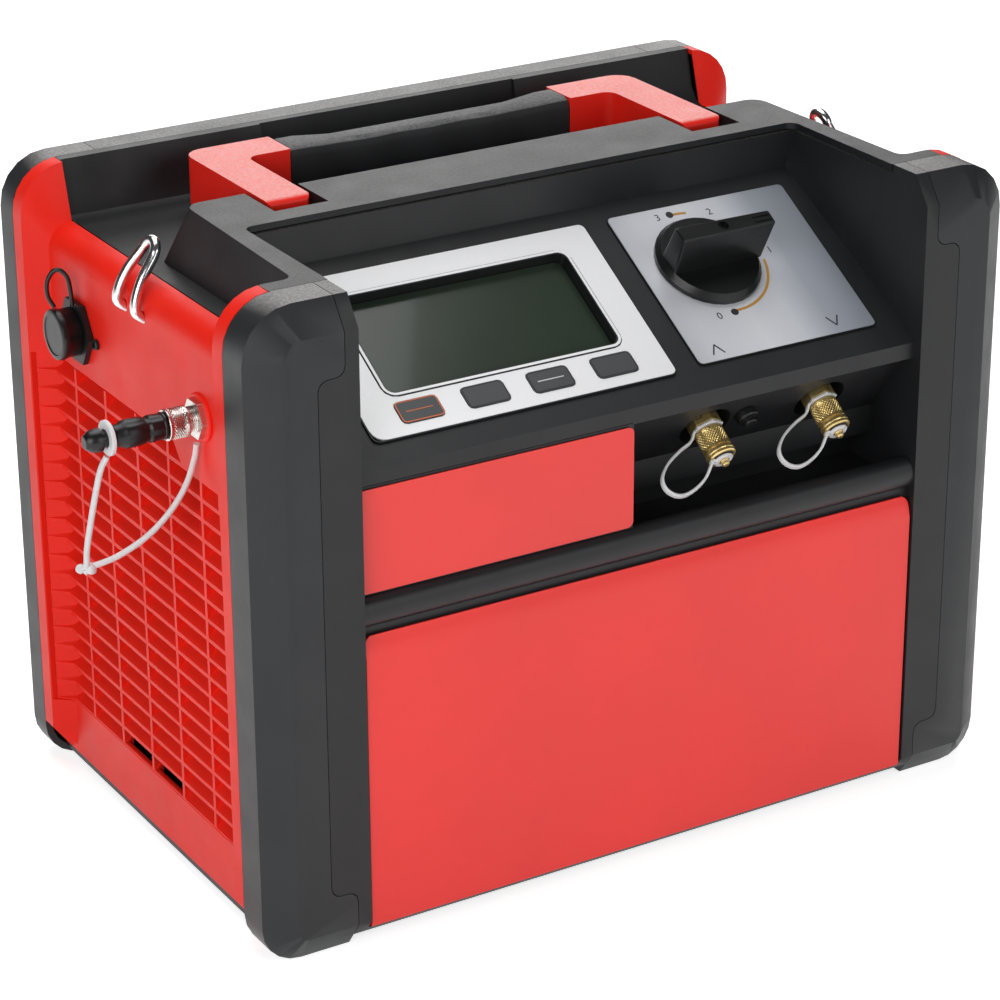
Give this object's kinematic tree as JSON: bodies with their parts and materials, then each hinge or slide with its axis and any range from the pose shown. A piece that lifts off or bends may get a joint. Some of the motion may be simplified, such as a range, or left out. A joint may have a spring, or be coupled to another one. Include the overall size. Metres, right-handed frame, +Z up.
{
  "type": "refrigerant recovery machine",
  "caption": "Portable refrigerant recovery machine: boxy case with corner guards, louvred sides, sloped panel with display, keys and selector knob, two capped service ports and folding handle.",
  "frame": {"origin": "middle of the whole machine's outline, sensor plug included, at the surface that it stands on", "axes": "+X to the right seen from the front, +Y to the back, +Z up; the front faces -Y"},
  "size_m": [0.4458, 0.2682, 0.3132],
  "materials": {
    "guard": "textured dark grey moulding",
    "black_plastic": "satin black moulding",
    "case_red": "semi-gloss red moulding",
    "sheet_red": "semi-gloss red paint",
    "silver_film": "silver film",
    "key_grey": "satin",
    "lcd": "dark green display",
    "brass": "turned and knurled",
    "nylon": "natural white",
    "steel": "nickel plated",
    "rubber": "matte black",
    "aluminium": "cast",
    "board": "green",
    "copper": "copper"
  },
  "bodies": {
    "case": {"front_guard_left": "guard", "front_guard_right": "guard", "rear_guard_left": "guard", "rear_guard_right": "guard", "front_frame": "black_plastic", "rear_frame": "black_plastic", "power_inlet": "black_plastic", "switch_housing": "black_plastic", "top_cover": "black_plastic", "base_tray": "black_plastic", "display_bezel": "black_plastic", "reset_breaker": "black_plastic", "reset_collar": "black_plastic", "flange_connector": "black_plastic", "fan_shroud": "black_plastic", "side_shell_left": "case_red", "side_shell_right": "case_red", "front_panel": "sheet_red", "rear_panel": "sheet_red", "label_plate": "sheet_red", "display_fascia": "silver_film", "selector_plate": "silver_film", "display_glass": "lcd", "inlet_port": "brass", "outlet_port": "brass", "valve_block": "brass", "inlet_cap_strap": "nylon", "outlet_cap_strap": "nylon", "plug_tether": "nylon", "strap_eye_left": "steel", "strap_eye_right": "steel", "handle_pin_left": "steel", "handle_pin_right": "steel", "sensor_socket": "steel", "dust_cap_strap": "rubber", "condenser": "aluminium", "compressor_motor": "aluminium", "compressor_pump": "aluminium", "key_board": "board", "control_board": "board", "filter_drier": "copper"},
    "handle": {"handle_frame": "case_red", "handle_grip": "rubber"},
    "selector": {"selector_knob": "black_plastic", "valve_stem": "steel"},
    "key_1": {"key_1": "key_grey"},
    "key_2": {"key_2": "key_grey"},
    "key_3": {"key_3": "key_grey"},
    "key_4": {"key_4": "key_grey"},
    "reset": {"reset_button": "black_plastic"},
    "inlet_cap": {"inlet_cap": "brass", "inlet_cap_ring": "nylon"},
    "outlet_cap": {"outlet_cap": "brass", "outlet_cap_ring": "nylon"},
    "dust_cap": {"dust_cap": "rubber"},
    "plug": {"plug_body": "black_plastic", "tether_ring": "nylon"},
    "plug_ring": {"plug_ring": "steel"},
    "fan": {"fan_rotor": "black_plastic"},
    "rocker": {"rocker_switch": "black_plastic"}
  },
  "joints": [
    {"name": "handle_fold", "type": "hinge", "parent": "case", "child": "handle", "pos_m": [0.0229, 0.0079, 0.3012], "axis": [1, 0, 0], "range_deg": [0, 90]},
    {"name": "selector_turn", "type": "hinge", "parent": "case", "child": "selector", "pos_m": [0.0943, -0.06903, 0.26656], "axis": [0, -0.503, 0.8643], "range_deg": [-91, 95]},
    {"name": "key_1_press", "type": "slide", "parent": "case", "child": "key_1", "axis": [0, 0.503, -0.8643], "range_m": [0, 0.0005], "stiffness_N_per_m": 400},
    {"name": "key_2_press", "type": "slide", "parent": "case", "child": "key_2", "axis": [0, 0.503, -0.8643], "range_m": [0, 0.0005], "stiffness_N_per_m": 400},
    {"name": "key_3_press", "type": "slide", "parent": "case", "child": "key_3", "axis": [0, 0.503, -0.8643], "range_m": [0, 0.0005], "stiffness_N_per_m": 400},
    {"name": "key_4_press", "type": "slide", "parent": "case", "child": "key_4", "axis": [0, 0.503, -0.8643], "range_m": [0, 0.0005], "stiffness_N_per_m": 400},
    {"name": "reset_press", "type": "slide", "parent": "case", "child": "reset", "axis": [0, 0.809, 0.5878], "range_m": [0, 0.002], "stiffness_N_per_m": 400},
    {"name": "inlet_cap_off", "type": "slide", "parent": "case", "child": "inlet_cap", "axis": [0, -0.809, -0.5878], "range_m": [0, 0.02]},
    {"name": "outlet_cap_off", "type": "slide", "parent": "case", "child": "outlet_cap", "axis": [0, -0.809, -0.5878], "range_m": [0, 0.02]},
    {"name": "dust_cap_off", "type": "slide", "parent": "case", "child": "dust_cap", "axis": [-1, 0, 0], "range_m": [0, 0.02]},
    {"name": "plug_off", "type": "slide", "parent": "case", "child": "plug", "axis": [-1, 0, 0], "range_m": [0, 0.02]},
    {"name": "plug_ring_turn", "type": "hinge", "parent": "plug", "child": "plug_ring", "pos_m": [-0.1671, -0.0631, 0.2434], "axis": [-1, 0, 0], "continuous": true},
    {"name": "fan_spin", "type": "hinge", "parent": "case", "child": "fan", "pos_m": [-0.1371, 0.0059, 0.12], "axis": [-1, 0, 0], "continuous": true},
    {"name": "rocker_tilt", "type": "hinge", "parent": "case", "child": "rocker", "pos_m": [-0.0121, 0.1272, 0.06], "axis": [0, 0, 1], "range_deg": [-7, 7]}
  ]
}
